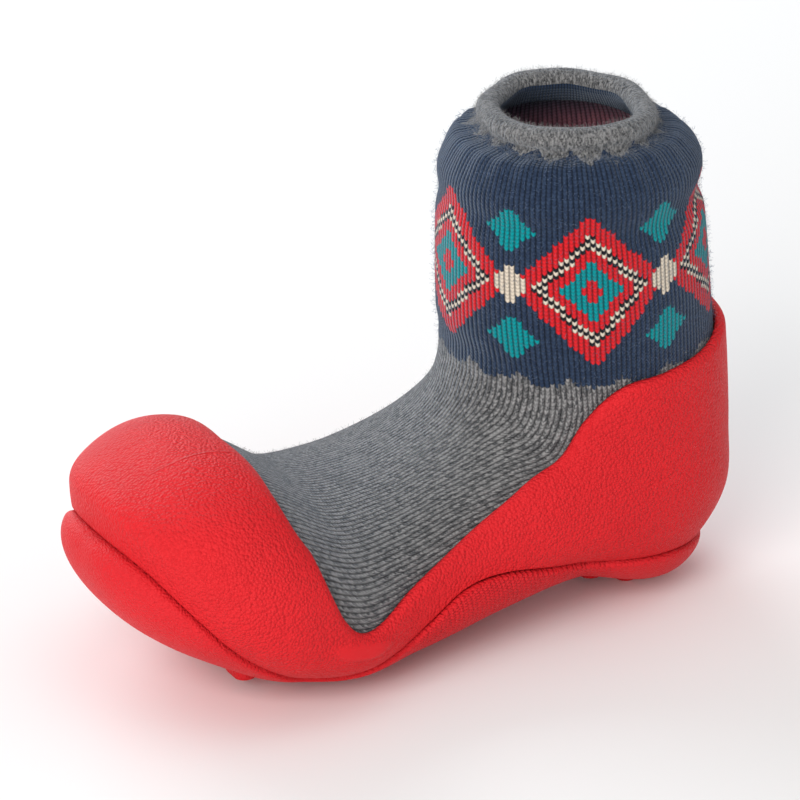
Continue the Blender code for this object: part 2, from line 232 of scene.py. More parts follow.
def groove_angle(distance, lift):
    """Angle around the sock where it meets the parting groove, moved up or down by lift."""
    columns = np.array(GROOVE)
    angles = np.linspace(GROOVE_HIGHEST, pi, GROOVE_ANGLES)
    found = []
    for place in np.atleast_1d(distance):
        points = sock_point(place, angles)
        above = points[:, 2] - smooth(columns[:, 0], columns[:, 1], points[:, 0])[:, 0] - lift
        below = np.flatnonzero(above <= 0)
        if len(below) == 0:
            found.append(pi)
            continue
        i = max(below[0], 1)
        share = above[i - 1] / (above[i - 1] - above[i])
        found.append(angles[i - 1] + share * (angles[i] - angles[i - 1]))
    return np.array(found)


def groove_ends(lift):
    """Distances from the toe tip where the groove crosses the middle of the toe and of the heel."""
    trial = np.linspace(GROOVE_FROM, STATION["heel top"], GROOVE_DISTANCES)
    meets = trial[groove_angle(trial, lift) < pi - GROOVE_PLAY]
    return meets[0], meets[-1]


def running_length(points):
    """Length of a line of points from its start to each of them."""
    return np.concatenate([[0.0], np.cumsum(np.linalg.norm(np.diff(points, axis=0), axis=1))])


def even_places(distance, angle, count):
    """Distances and angles evenly spaced along a line on the sock."""
    lengths = running_length(sock_point(distance, angle))
    even = np.linspace(0, lengths[-1], count)
    return np.interp(even, lengths, distance), np.interp(even, lengths, angle)


def edge_places(table, count):
    """Evenly spaced places along one stretch of the shell's upper edge."""
    columns = np.array(table) * (1, pi / 180)
    lengths = running_length(sock_point(*columns.T))
    line = smooth(lengths, columns, np.linspace(0, lengths[-1], LINE_STEPS))
    return even_places(*line.T, count)


def groove_places(start, end, lift, count):
    """Evenly spaced places along one stretch of the parting groove."""
    distances = start + (end - start) * np.sin(np.linspace(0, pi / 2, LINE_STEPS))
    return even_places(distances, groove_angle(distances, lift), count)


def even_rings(distances, columns):
    """Angles of equally spaced places around the sock, from under the sole, a row for each distance."""
    angles = np.linspace(-pi, pi, RING_STEPS + 1)
    points = sock_point(np.asarray(distances)[:, None], angles[None, :])
    steps = np.linalg.norm(np.diff(points, axis=1), axis=2)
    lengths = np.concatenate([np.zeros((len(points), 1)), np.cumsum(steps, axis=1)], axis=1)
    shares = np.linspace(0, 1, columns + 1)
    return np.array([np.interp(shares * row[-1], row, angles) for row in lengths])[:, :-1]


class Wire:
    """A value in a finish's nodes. Arithmetic on it adds Math nodes."""

    def __init__(self, finish, socket):
        self.finish = finish
        self.socket = socket

    def math(self, operation, *values):
        node = self.finish.node("ShaderNodeMath", {"operation": operation}, dict(enumerate(values)))
        return Wire(self.finish, node.outputs[0])

    def __add__(self, other):
        return self.math("ADD", self, other)

    def __radd__(self, other):
        return self.math("ADD", other, self)

    def __sub__(self, other):
        return self.math("SUBTRACT", self, other)

    def __rsub__(self, other):
        return self.math("SUBTRACT", other, self)

    def __mul__(self, other):
        return self.math("MULTIPLY", self, other)

    def __rmul__(self, other):
        return self.math("MULTIPLY", other, self)

    def __truediv__(self, other):
        return self.math("DIVIDE", self, other)

    def __rtruediv__(self, other):
        return self.math("DIVIDE", other, self)

    def __pow__(self, other):
        return self.math("POWER", self, other)

    def __abs__(self):
        return self.math("ABSOLUTE", self)

    def __mod__(self, other):
        return self.math("FLOORED_MODULO", self, other)

    def __gt__(self, other):
        return self.math("GREATER_THAN", self, other)

    def __lt__(self, other):
        return self.math("LESS_THAN", self, other)

    def floor(self):
        return self.math("FLOOR", self)

    def fract(self):
        return self.math("FRACT", self)

    def sine(self):
        return self.math("SINE", self)

    def least(self, other):
        return self.math("MINIMUM", self, other)

    def rise(self, low, high):
        """0 below low, 1 above high and smooth between."""
        node = self.finish.node(
            "ShaderNodeMapRange", {"interpolation_type": "SMOOTHSTEP"},
            {"Value": self, "From Min": low, "From Max": high, "To Min": 0.0, "To Max": 1.0})
        return Wire(self.finish, node.outputs["Result"])


def fill(tree, socket, value):
    """Links a socket to a value of the nodes or sets it to a constant."""
    if isinstance(value, Wire):
        value = value.socket
    if isinstance(value, bpy.types.NodeSocket):
        tree.links.new(value, socket)
    else:
        socket.default_value = value


def add_node(tree, kind, settings=None, sockets=None):
    """Adds a node, makes its settings and then fills or links its sockets."""
    node = tree.nodes.new(kind)
    for name, value in (settings or {}).items():
        setattr(node, name, value)
    for key, value in (sockets or {}).items():
        fill(tree, node.inputs[key], value)
    return node


class Finish:
    """A material under construction."""

    def __init__(self, name):
        self.material = bpy.data.materials.new(name)
        self.material.use_nodes = True
        self.tree = self.material.node_tree
        self.shader = self.tree.nodes["Principled BSDF"]
        self.node = partial(add_node, self.tree)

    def set(self, **sockets):
        """Constants and links of the shader, named with underscores for spaces."""
        for name, value in sockets.items():
            fill(self.tree, self.shader.inputs[name.replace("_", " ")], value)

    def uv(self, layer):
        """The two numbers of a UV map."""
        place = self.node("ShaderNodeUVMap", {"uv_map": layer})
        parts = self.node("ShaderNodeSeparateXYZ", None, {0: place.outputs[0]})
        return Wire(self, parts.outputs[0]), Wire(self, parts.outputs[1])

    def attribute(self, name):
        node = self.node("ShaderNodeAttribute", {"attribute_name": name})
        return Wire(self, node.outputs["Fac"])

    def place(self):
        return self.node("ShaderNodeTexCoord").outputs["Object"]

    def vector(self, x, y, z):
        return self.node("ShaderNodeCombineXYZ", None, {0: x, 1: y, 2: z}).outputs[0]

    def noise(self, vector, scale, detail=2.0, rough=0.5):
        sockets = {"Vector": vector, "Scale": scale, "Detail": detail, "Roughness": rough}
        return Wire(self, self.node("ShaderNodeTexNoise", None, sockets).outputs[0])

    def cells(self, vector, scale):
        """Distance from the middle of the nearest cell."""
        node = self.node("ShaderNodeTexVoronoi", {"feature": "F1"}, {"Vector": vector, "Scale": scale})
        return Wire(self, node.outputs["Distance"])

    def chance(self, x, y, draw=0.0):
        """Random number from 0 to 1 for each cell, another one for each draw."""
        sockets = {"Vector": self.vector(x, y, draw)}
        node = self.node("ShaderNodeTexWhiteNoise", {"noise_dimensions": "3D"}, sockets)
        return Wire(self, node.outputs["Value"])

    def mix(self, share, first, second):
        """Colour that goes from first to second, which are the node's sockets 6 and 7."""
        node = self.node("ShaderNodeMix", {"data_type": "RGBA"}, {0: share, 6: first, 7: second})
        return node.outputs[2]

    def shade(self, colour, amount):
        """Colour made darker by an amount that goes from 0 for black to 1 for itself."""
        return self.mix(amount, (0.0, 0.0, 0.0, 1.0), colour)

    def uneven(self, share, colour, darkest):
        """One colour that goes from a darker shade of itself to its full strength."""
        return self.mix(share, self.shade(linear(colour), darkest), linear(colour))

    def bump(self, height, strength, distance):
        sockets = {"Height": height, "Strength": strength, "Distance": distance}
        return self.node("ShaderNodeBump", None, sockets).outputs[0]


def linear(colour):
    """A colour property as a shader's four numbers."""
    return (*colour, 1.0)


def mesh_piece(name, points, faces, material, layers=None):
    """Piece from points in the table frame, with a UV pair for each corner of each face."""
    mesh = bpy.data.meshes.new(name)
    mesh.from_pydata(((np.asarray(points) - BOX_CENTRE) * MM).tolist(), [], faces)
    for layer, values in (layers or {}).items():
        mesh.uv_layers.new(name=layer).data.foreach_set("uv", np.asarray(values, np.float32).ravel())
    mesh.shade_smooth()
    mesh.materials.append(material)
    piece = bpy.data.objects.new(name, mesh)
    bpy.context.scene.collection.objects.link(piece)
    return piece


def sheet_faces(rows, columns, wrap_rows=False):
    """Quads of a grid that closes around its columns, and the row and column each corner is read at."""
    last = rows if wrap_rows else rows - 1
    row, column = np.meshgrid(np.arange(last), np.arange(columns), indexing="ij")
    row, column = row.ravel(), column.ravel()
    read_rows = np.stack([row, row, row + 1, row + 1], -1)
    read_columns = np.stack([column, column + 1, column + 1, column], -1)
    faces = read_rows % rows * columns + read_columns % columns
    return faces, read_rows, read_columns


def close_ends(piece, rows, columns):
    """Closes the two ends of a grid, each with a fan of faces around one more point."""
    mesh = piece.data
    end = (rows - 1) * columns
    first = np.mean([mesh.vertices[k].co for k in range(columns)], axis=0)
    last = np.mean([mesh.vertices[end + k].co for k in range(columns)], axis=0)
    start = len(mesh.vertices)
    mesh.vertices.add(2)
    mesh.vertices[start].co = first
    mesh.vertices[start + 1].co = last
    fans = [(start, (k + 1) % columns, k) for k in range(columns)]
    fans += [(start + 1, end + k, end + (k + 1) % columns) for k in range(columns)]
    loops, polygons = len(mesh.loops), len(mesh.polygons)
    mesh.loops.add(3 * len(fans))
    mesh.polygons.add(len(fans))
    for i, fan in enumerate(fans):
        mesh.polygons[polygons + i].loop_start = loops + 3 * i
        for j, corner in enumerate(fan):
            mesh.loops[loops + 3 * i + j].vertex_index = corner
    mesh.update(calc_edges=True)
    mesh.validate()
    mesh.shade_smooth()


def write_attribute(piece, name, values):
    """Stores one number for each point of a piece."""
    stored = piece.data.attributes.new(name, "FLOAT", "POINT")
    stored.data.foreach_set("value", np.asarray(values, np.float32))


def seat(piece, node):
    """The piece joins the shoe's body and takes the place of a solid, which is hidden."""
    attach(piece, BODY)
    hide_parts(node)


def colour_setting(name, description, default):
    return bpy.props.FloatVectorProperty(
        name=name, description=description, default=default, subtype="COLOR")


def length_setting(name, description, default):
    return bpy.props.FloatProperty(
        name=name, description=description, default=default, subtype="DISTANCE", unit="LENGTH")


def angle_setting(name, description, degrees):
    return bpy.props.FloatProperty(
        name=name, description=description, default=radians(degrees), subtype="ANGLE", unit="ROTATION")


class SockSettings(bpy.types.PropertyGroup):
    """Sizes and colours of the knit."""
    wales: bpy.props.IntProperty(
        name="Wales", description="Columns of stitches around the sock", default=150, min=40)
    course: bpy.props.FloatProperty(
        name="Course", description="Height of one row of stitches in millimetres", default=0.68, min=0.2)
    columns: bpy.props.IntProperty(
        name="Columns", description="Faces around the sock", default=260, min=40)
    heather_light: colour_setting("Light heather", "Lighter yarn of the grey foot", (0.335, 0.332, 0.331))
    heather_dark: colour_setting("Dark heather", "Darker yarn of the grey foot", (0.05, 0.052, 0.056))
    navy: colour_setting("Navy", "Yarn of the cuff", (0.020, 0.036, 0.075))
    navy_light: colour_setting("Light navy", "Paler strands of the cuff", (0.042, 0.070, 0.130))
    red: colour_setting("Red yarn", "Large diamonds of the cuff's band", (0.74, 0.016, 0.024))
    turquoise: colour_setting("Turquoise yarn", "Smaller diamonds of the band", (0.0, 0.30, 0.33))
    cream: colour_setting("Cream yarn", "Checks of the band", (0.78, 0.68, 0.55))
    rose: colour_setting("Rose yarn", "Loose strands on the cuff's inside", (0.62, 0.20, 0.23))
    black: colour_setting("Black yarn", "Checks of the band", (0.012, 0.013, 0.016))
    fuzz_length: length_setting("Fuzz length", "Length of the loose fibres", 0.0008)
    fuzz_radius: length_setting("Fuzz radius", "Radius of a fibre", 0.000016)


class RubberSettings(bpy.types.PropertyGroup):
    """Colours and grain of the rubber and the foot bed."""
    shell: colour_setting("Shell", "Colour of the shell", (0.73, 0.018, 0.024))
    sole: colour_setting("Sole", "Colour of the outsole", (0.71, 0.018, 0.025))
    foot_bed: colour_setting("Foot bed", "Colour of the foot bed", (0.42, 0.09, 0.10))
    grain: bpy.props.FloatProperty(
        name="Grain", description="Pebbles of the grain per metre", default=1900.0, min=100.0)


class StageSettings(bpy.types.PropertyGroup):
    """Camera, floor and light."""
    azimuth: angle_setting("Azimuth", "Camera's turn from the toe to the inner side", 64.588)
    elevation: angle_setting("Elevation", "Camera's height over the floor as an angle", 22.694)
    distance: length_setting("Distance", "Camera's distance from the shoe", 1.2215)
    roll: angle_setting("Roll", "Camera's turn about its own line of sight", -1.436)
    lens: bpy.props.FloatProperty(
        name="Lens", description="Focal length in millimetres", default=318.0, min=1.0,
        subtype="DISTANCE_CAMERA", unit="CAMERA")
    floor: colour_setting("Floor", "Colour of the floor", (0.92, 0.92, 0.92))


class ShoeSettings(bpy.types.PropertyGroup):
    """All settings of the sock shoe."""
    sock: bpy.props.PointerProperty(
        name="Sock", description="Sizes and colours of the knit", type=SockSettings)
    rubber: bpy.props.PointerProperty(
        name="Rubber", description="Colours and grain of the rubber and the foot bed", type=RubberSettings)
    stage: bpy.props.PointerProperty(
        name="Stage", description="Camera, floor and light", type=StageSettings)


# Rows of the sock's mesh. Columns: first distance from the toe tip, last distance, count
OUTER_TOE_ROWS = (0.6, 20.0, 14)
OUTER_ROWS = (20.9, STATION["neck"], 178)
INNER_ROWS = (STATION["neck"], 20.0, 60)
INNER_TOE_ROWS = (18.0, 0.8, 8)

# Rows of the collar's roll, in degrees from the outside over the top to the inside
ROLL_FROM = -42.0
ROLL_TO = 225.0
ROLL_ROWS = 26

# The sock's soft forms, the same on both sides.
# Columns: distance from the neck down the outside, half height, degrees, half angle, depth
SOFT_FORMS = (
    (0.0, 3.6, 90.0, 360.0, 0.75),
    (17.0, 4.5, 150.0, 120.0, -1.3),
    (10.0, 4.5, 165.0, 130.0, 0.55),
    (16.0, 3.5, 30.0, 60.0, -0.4),
    (41.0, 3.5, 0.0, 50.0, -0.45),
    (48.0, 3.5, 10.0, 45.0, 0.3),
    (33.0, 6.0, 95.0, 45.0, 0.3),
)

# Gathers under the collar: count, depth, and the distances below the neck where they rise and fade
GATHERS = 26
GATHER_DEPTH = 0.16
GATHER_RISE = (0.0, 2.5)
GATHER_FADE = (12.0, 4.0)

# Slack of the rolled collar.
# Columns: waves around it, degrees of the first crest, outward swing, upward swing
COLLAR_WAVES = (
    (2, 70.0, 0.10, 0.20),
    (3, 20.0, 0.14, -0.10),
    (5, 48.0, 0.18, 0.08),
    (8, 11.0, 0.10, 0.08),
)


def soft_relief(angles, below_neck):
    """How far the outside stands out: soft forms of the cloth and gathers under the collar."""
    relief = np.zeros_like(angles)
    for middle, half, degrees, half_angle, depth in SOFT_FORMS:
        turns = [np.abs((np.degrees(angles) + side * degrees + 180) % 360 - 180) for side in (-1, 1)]
        along = soft_step(1, 0, np.abs(below_neck - middle) / half)
        relief += depth * (along * soft_step(1, 0, np.minimum(*turns) / half_angle))
    folds = np.cos(angles * GATHERS)
    folds = folds * soft_step(*GATHER_FADE, below_neck) * soft_step(*GATHER_RISE, below_neck)
    return relief + GATHER_DEPTH * folds


def collar_roll(columns):
    """Rows of the rolled collar, which runs a little slack around the opening."""
    radius = COLLAR_BEAD / 2
    angles = even_rings([STATION["rim"]], columns)[0]
    middle = offset_point(STATION["rim"] - radius / 2, angles, np.full(columns, -SOCK_WALL / 2))
    outward = middle - middle.mean(axis=0)
    outward /= np.linalg.norm(outward, axis=1, keepdims=True)
    upward = np.array((0.0, 0.0, 1.0))
    for waves, degrees, swing, rise in COLLAR_WAVES:
        crest = np.cos(waves * (angles - radians(degrees)))[:, None]
        middle = middle + crest * (swing * outward + rise * upward)
    turns = np.linspace(radians(ROLL_FROM), radians(ROLL_TO), ROLL_ROWS)[:, None, None]
    return middle + radius * (np.cos(turns) * outward + np.sin(turns) * upward)


def sock_grid(columns):
    """Rows of points over the outside, the collar and the inside, and how far each lies below the neck."""
    distances = np.concatenate([np.linspace(*OUTER_TOE_ROWS), np.linspace(*OUTER_ROWS)])
    angles = even_rings(distances, columns)
    steps = np.linalg.norm(np.diff(sock_point(distances[:, None], angles), axis=0), axis=2)
    below_neck = np.zeros_like(angles)
    below_neck[:-1] = np.cumsum(steps[::-1], axis=0)[::-1]
    outer = offset_point(distances[:, None], angles, soft_relief(angles, below_neck))
    inner_distances = np.concatenate([np.linspace(*INNER_ROWS), np.linspace(*INNER_TOE_ROWS)])
    inner_angles = even_rings(inner_distances, columns)
    inner = offset_point(inner_distances[:, None], inner_angles, np.full(inner_angles.shape, -SOCK_WALL))
    rows = np.concatenate([outer, collar_roll(columns), inner])
    steps = np.linalg.norm(np.diff(rows, axis=0), axis=2)
    length = np.concatenate([np.zeros((1, columns)), np.cumsum(steps, axis=0)])
    return rows, length[len(outer) - 1] - length


# Noise in the yarn. Columns: changes per wale, changes per course, layer, detail, roughness
CLOUDS = (0.9, 0.22, 0.0, 3.0, 0.6)
SPECKS = (3.4, 1.9, 5.0, 3.0, 0.7)
FIBRES = (6.0, 3.0, 0.0, 2.0, 0.6)

# Two colours in one yarn. Columns: share of the strand, share of the noise, shift, all dark, all light
HEATHER = (0.45, 1.25, 0.35, 0.1, 0.85)
NAVY = (0.5, 0.6, 0.2, 0.0, 1.0)

# The cuff's band in stitches: wales of one repeat, middle course, half sizes of a large diamond
MOTIF_WALES = 30
MOTIF_MIDDLE = 37.5
MOTIF_HALF_WIDTH = 15.0
MOTIF_HALF_HEIGHT = 21.0
# Inside a large diamond, as shares of its size: the checked ring's limits, the inner diamond and its heart
RING_FROM = 0.58
RING_TO = 0.74
INNER_DIAMOND = 0.40
HEART = 0.16
# Between large diamonds: half width and half height of the cream diamond on the middle course and of the
# turquoise diamonds over and under it, which lie so many courses away
CREAM_DIAMOND = (3.6, 6.0)
CORNER_DIAMOND = (4.6, 6.4)
CORNER_COURSES = 14.5

# The navy cuff's scalloped hem: place below the neck, wales and depth of a scallop, unevenness
CUFF_HEM = 41.6
SCALLOP_WALES = 10.0
SCALLOP_DEPTH = 1.8
HEM_FRAY = 0.7
# The grey collar's teeth: place below the neck, wales of a tooth and of their shift, length and its shares,
# unevenness
COLLAR_HEM = -1.4
TOOTH_WALES = 9.0
TOOTH_SHIFT = 2
TOOTH_LENGTH = 3.8
TOOTH_SHORTEST = 0.35
TOOTH_VARIES = 0.85
COLLAR_FRAY = 1.1
# Separate draws of random numbers
HEM_DRAW = 3.0
COLLAR_DRAW = 7.0
TOOTH_DRAW = 11.0
# The inside: lengths behind the neck where it starts and where rose strands fade in, shares of the mix
INSIDE_FROM = 9.0
ROSE_DEPTH = (15.0, 25.0)
ROSE_CLOUDS = 0.7
ROSE_STRANDS = 0.15
ROSE_SHARE = 0.45
INSIDE_PALE = 0.3

# Relief of a stitch: slant of its legs and colours, the rib's roundness, the dip along its middle, depth of
# the stitch and height of its fibres
LEG_SLANT = 0.6
COLOUR_SLANT = 0.5
RIB_POWER = 1.2
DIP_HALF_WIDTH = 0.35
DIP_DEPTH = 0.2
STITCH_DEPTH = 0.55
FIBRE_HEIGHT = 0.3
# Relief of the rolled collar: where it ends, how far it flattens the rib, its height, terry per metre and
# the terry's height
ROLL_HEM = COLLAR_HEM + 3
ROLL_FLATTENS = 0.75
ROLL_HEIGHT = 0.4
TERRY = 1900.0
TERRY_HEIGHT = 2.2
# Heights of the relief that are darkest and lightest in the painted shade of its hollows, colour left at the
# darkest, depth in metres, sheen
RELIEF_SHADE = (0.05, 0.85)
DARKEST_PAINTED_SHADE = 0.22
KNIT_DEPTH = 0.0004
KNIT_SHEEN = (0.72, 0.84, 1.0, 1.0)


def yarn_noise(finish, wale, course, kind):
    """Noise that follows the stitches."""
    across, along, layer, detail, rough = kind
    return finish.noise(finish.vector(wale * across, course * along, layer), 1.0, detail, rough)


def marled(finish, kind, strand, noise, dark, light):
    """Yarn spun of two colours."""
    strand_share, noise_share, shift, low, high = kind
    share = (strand * strand_share + noise * noise_share - shift).rise(low, high)
    return finish.mix(share, linear(dark), linear(light))


def cuff_band(finish, settings, column, row, navy):
    """The cuff's repeat of diamonds on navy, stitch by stitch."""
    across = abs(column % MOTIF_WALES - MOTIF_WALES / 2 + 0.5)
    along = abs(row - MOTIF_MIDDLE)
    from_edge = MOTIF_WALES / 2 - across
    diamond = across / MOTIF_HALF_WIDTH + along / MOTIF_HALF_HEIGHT
    small = from_edge / CREAM_DIAMOND[0] + along / CREAM_DIAMOND[1]
    corner = from_edge / CORNER_DIAMOND[0] + abs(along - CORNER_COURSES) / CORNER_DIAMOND[1]
    checks = finish.mix((column + row) % 2 > 0.5, linear(settings.black), linear(settings.cream))
    layers = (
        (diamond < 1.0, linear(settings.red)),
        ((diamond < RING_TO) * (diamond > RING_FROM), checks),
        (diamond < INNER_DIAMOND, linear(settings.turquoise)),
        (diamond < HEART, linear(settings.red)),
        (small < 1.0, linear(settings.cream)),
        (corner < 1.0, linear(settings.turquoise)))
    band = navy
    for inside, yarn in layers:
        band = finish.mix(inside, band, yarn)
    return band


def knit_colours(finish, settings, wale, course, below_neck):
    """Yarn of each stitch: grey collar with teeth, navy cuff with its band, grey foot, rose inside."""
    column, row = wale.floor(), course.floor()
    strand = finish.chance(column * 2 + (wale.fract() > 0.5), row)
    cloud = yarn_noise(finish, wale, course, CLOUDS)
    speck = yarn_noise(finish, wale, course, SPECKS)
    grey = marled(finish, HEATHER, strand, speck, settings.heather_dark, settings.heather_light)
    navy = marled(finish, NAVY, strand, cloud, settings.navy, settings.navy_light)
    band = cuff_band(finish, settings, column, row, navy)
    scallop = ((wale / SCALLOP_WALES).fract() - 0.5) * 2
    fray = finish.chance(column, 0.0, HEM_DRAW) * HEM_FRAY
    hem = CUFF_HEM + SCALLOP_DEPTH * (1 - scallop * scallop) + fray
    cuff = finish.mix(row * settings.course > hem, band, grey)
    teeth = (wale + TOOTH_SHIFT) / TOOTH_WALES
    tooth = abs(teeth.fract() - 0.5) * 2
    length = TOOTH_SHORTEST + TOOTH_VARIES * finish.chance((teeth + 0.5).floor(), 0.0, TOOTH_DRAW)
    fray = finish.chance(column, row, COLLAR_DRAW) * COLLAR_FRAY
    knit = finish.mix(below_neck < COLLAR_HEM + TOOTH_LENGTH * tooth * length + fray, cuff, grey)
    deep = (0 - below_neck).rise(*ROSE_DEPTH)
    floats = ((cloud - 0.5) * ROSE_CLOUDS + strand * ROSE_STRANDS + ROSE_SHARE) * deep
    lining = finish.mix(INSIDE_PALE, navy, linear(settings.navy_light))
    inside = finish.mix(floats, lining, linear(settings.rose))
    return finish.mix(below_neck < -INSIDE_FROM, knit, inside)


def knit_finish(settings):
    """Rib of fine stitches, each with two slanting legs, and terry on the rolled collar."""
    finish = Finish("knit")
    wale, course = finish.uv("Knit")
    below_neck = course * settings.course
    off_middle = abs((wale.fract() - 0.5) * 2)
    stitch = ((course + off_middle * LEG_SLANT).fract() * pi).sine()
    rib = 1 - off_middle ** RIB_POWER
    dip = off_middle.rise(0.0, DIP_HALF_WIDTH) * DIP_DEPTH + (1 - DIP_DEPTH)
    fibres = yarn_noise(finish, wale, course, FIBRES)
    rolled = (below_neck < ROLL_HEM) * (below_neck > -INSIDE_FROM)
    terry = (finish.noise(finish.place(), TERRY, 2.0, 0.6) - 0.5) * rolled
    ribbed = rib * dip * (stitch * STITCH_DEPTH + (1 - STITCH_DEPTH))
    plain = ribbed * (1 - rolled * ROLL_FLATTENS) + rolled * ROLL_HEIGHT
    height = plain + fibres * FIBRE_HEIGHT + terry * TERRY_HEIGHT
    colour = knit_colours(finish, settings, wale, course + off_middle * COLOUR_SLANT, below_neck)
    # Painted shade: the yarn's colour darkens in the hollows of the stitches, the rib and the terry, down to
    # the darkest share
    depth = height.rise(*RELIEF_SHADE) * (1 - DARKEST_PAINTED_SHADE) + DARKEST_PAINTED_SHADE
    finish.set(
        Base_Color=finish.shade(colour, depth), Roughness=0.92, Specular_IOR_Level=0.15,
        Sheen_Weight=0.32, Sheen_Roughness=0.4, Sheen_Tint=KNIT_SHEEN,
        Normal=finish.bump(height, 0.8, KNIT_DEPTH))
    return finish.material


# Where the coats of loose fibres grow: lengths below the neck over which each starts and ends
CUFF_COAT = ((-2, 1), (44, 41))
FOOT_COAT = ((41, 44), 95)
COLLAR_COAT = ((-8, -6), (3, 0))


class SHOE_OT_sock(bpy.types.Operator):
    """Knits the sock over its solid, with the rolled collar and the inside"""
    bl_idname = "shoe.sock"
    bl_label = "Sock"

    def execute(self, context):
        settings = context.scene.shoe.sock
        columns = settings.columns
        rows, below_neck = sock_grid(columns)
        faces, read_rows, read_columns = sheet_faces(len(rows), columns)
        wale = read_columns * settings.wales / columns
        course = below_neck[read_rows, read_columns % columns] / settings.course
        sock = mesh_piece(
            "sock_knit", rows.reshape(-1, 3), faces.tolist(), knit_finish(settings),
            {"Knit": np.stack([wale, course], -1)})
        close_ends(sock, len(rows), columns)
        coats = {
            "cuff_fuzz": soft_step(*CUFF_COAT[0], below_neck) * soft_step(*CUFF_COAT[1], below_neck),
            "foot_fuzz": soft_step(*FOOT_COAT[0], below_neck) * (below_neck < FOOT_COAT[1]),
            "collar_fuzz": soft_step(*COLLAR_COAT[0], below_neck) * soft_step(*COLLAR_COAT[1], below_neck),
        }
        for name, share in coats.items():
            write_attribute(sock, name, np.concatenate([share.ravel(), (0.0, 0.0)]))
        seat(sock, "sock")
        return {"FINISHED"}


# Coats of loose fibres. Columns: fibres per square metre, share of the full length, seed
COATS = {
    "cuff_fuzz": (1.6e6, 0.9, 3),
    "foot_fuzz": (0.9e6, 0.6, 5),
    "collar_fuzz": (7.0e6, 0.8, 8),
}
# A fibre: corners of its round, steps along it, height of its bend, largest lean in radians, range of sizes
FIBRE_CORNERS = 3
FIBRE_STEPS = 2
FIBRE_BEND = 0.55
FIBRE_LEAN = 1.2
FIBRE_SIZES = (0.45, 1.3)
# The cuff's fibres are paler than its yarn, and all coats change a little in so many places per metre
CUFF_FUZZ_PALER = 2.2
FUZZ_CLOUDS = 900.0


def fuzz_tree():
    """Nodes that scatter short bent fibres where an attribute of the surface asks for them."""
    tree = bpy.data.node_groups.new("fuzz", "GeometryNodeTree")
    sockets = (
        ("Surface", "INPUT", "NodeSocketGeometry"), ("Fibres", "OUTPUT", "NodeSocketGeometry"),
        ("Density", "INPUT", "NodeSocketFloat"), ("Where", "INPUT", "NodeSocketString"),
        ("Length", "INPUT", "NodeSocketFloat"), ("Radius", "INPUT", "NodeSocketFloat"),
        ("Seed", "INPUT", "NodeSocketInt"), ("Yarn", "INPUT", "NodeSocketMaterial"))
    for name, in_out, kind in sockets:
        tree.interface.new_socket(name=name, in_out=in_out, socket_type=kind)
    add = partial(add_node, tree)
    start = add("NodeGroupInput").outputs
    seed = start["Seed"]
    where = add("GeometryNodeInputNamedAttribute", {"data_type": "FLOAT"}, {"Name": start["Where"]})
    density = add("ShaderNodeMath", {"operation": "MULTIPLY"}, {0: where.outputs[0], 1: start["Density"]})
    points = add(
        "GeometryNodeDistributePointsOnFaces", {"distribute_method": "RANDOM"},
        {"Mesh": start["Surface"], "Density": density.outputs[0], "Seed": seed}).outputs
    upright = add("ShaderNodeCombineXYZ", None, {"Z": start["Length"]})
    sideways = add("ShaderNodeCombineXYZ", None, {"X": start["Length"]})
    bend = add("ShaderNodeVectorMath", {"operation": "SCALE"}, {0: upright.outputs[0], "Scale": FIBRE_BEND})
    tip = add("ShaderNodeVectorMath", {"operation": "ADD"}, {0: sideways.outputs[0], 1: bend.outputs[0]})
    line = add(
        "GeometryNodeCurveQuadraticBezier", None,
        {"Resolution": FIBRE_STEPS, "Start": (0.0, 0.0, 0.0), "Middle": bend.outputs[0],
         "End": tip.outputs[0]})
    outline = add(
        "GeometryNodeCurvePrimitiveCircle", {"mode": "RADIUS"},
        {"Resolution": FIBRE_CORNERS, "Radius": start["Radius"]})
    fibre = add(
        "GeometryNodeCurveToMesh", None,
        {"Curve": line.outputs[0], "Profile Curve": outline.outputs[0], "Fill Caps": True})
    turn = add(
        "FunctionNodeRandomValue", {"data_type": "FLOAT_VECTOR"},
        {0: (-FIBRE_LEAN, -FIBRE_LEAN, 0.0), 1: (FIBRE_LEAN, FIBRE_LEAN, 2 * pi), "Seed": seed})
    euler = add("FunctionNodeEulerToRotation", None, {"Euler": turn.outputs[0]})
    aim = add(
        "FunctionNodeRotateRotation", {"rotation_space": "LOCAL"},
        {"Rotation": points["Rotation"], "Rotate By": euler.outputs[0]})
    size = add(
        "FunctionNodeRandomValue", {"data_type": "FLOAT"},
        {2: FIBRE_SIZES[0], 3: FIBRE_SIZES[1], "Seed": seed})
    copies = add(
        "GeometryNodeInstanceOnPoints", None,
        {"Points": points["Points"], "Instance": fibre.outputs[0], "Rotation": aim.outputs[0],
         "Scale": size.outputs[1]})
    real = add("GeometryNodeRealizeInstances", None, {"Geometry": copies.outputs[0]})
    dyed = add("GeometryNodeSetMaterial", None, {"Geometry": real.outputs[0], "Material": start["Yarn"]})
    add("NodeGroupOutput", None, {"Fibres": dyed.outputs[0]})
    return tree


def set_input(modifier, name, value):
    """Sets a Geometry Nodes input by the identifier of its socket."""
    for item in modifier.node_group.interface.items_tree:
        if item.item_type == "SOCKET" and item.in_out == "INPUT" and item.name == name:
            modifier[item.identifier] = value
            return
    raise KeyError(name)


def fuzz_finish(name, colour):
    """Soft yarn fibre, a little uneven along the sock."""
    finish = Finish(name)
    tint = finish.noise(finish.place(), FUZZ_CLOUDS, 1.0)
    finish.set(
        Base_Color=finish.uneven(tint, colour, 0.7), Roughness=0.9, Specular_IOR_Level=0.2,
        Sheen_Weight=0.3)
    return finish.material


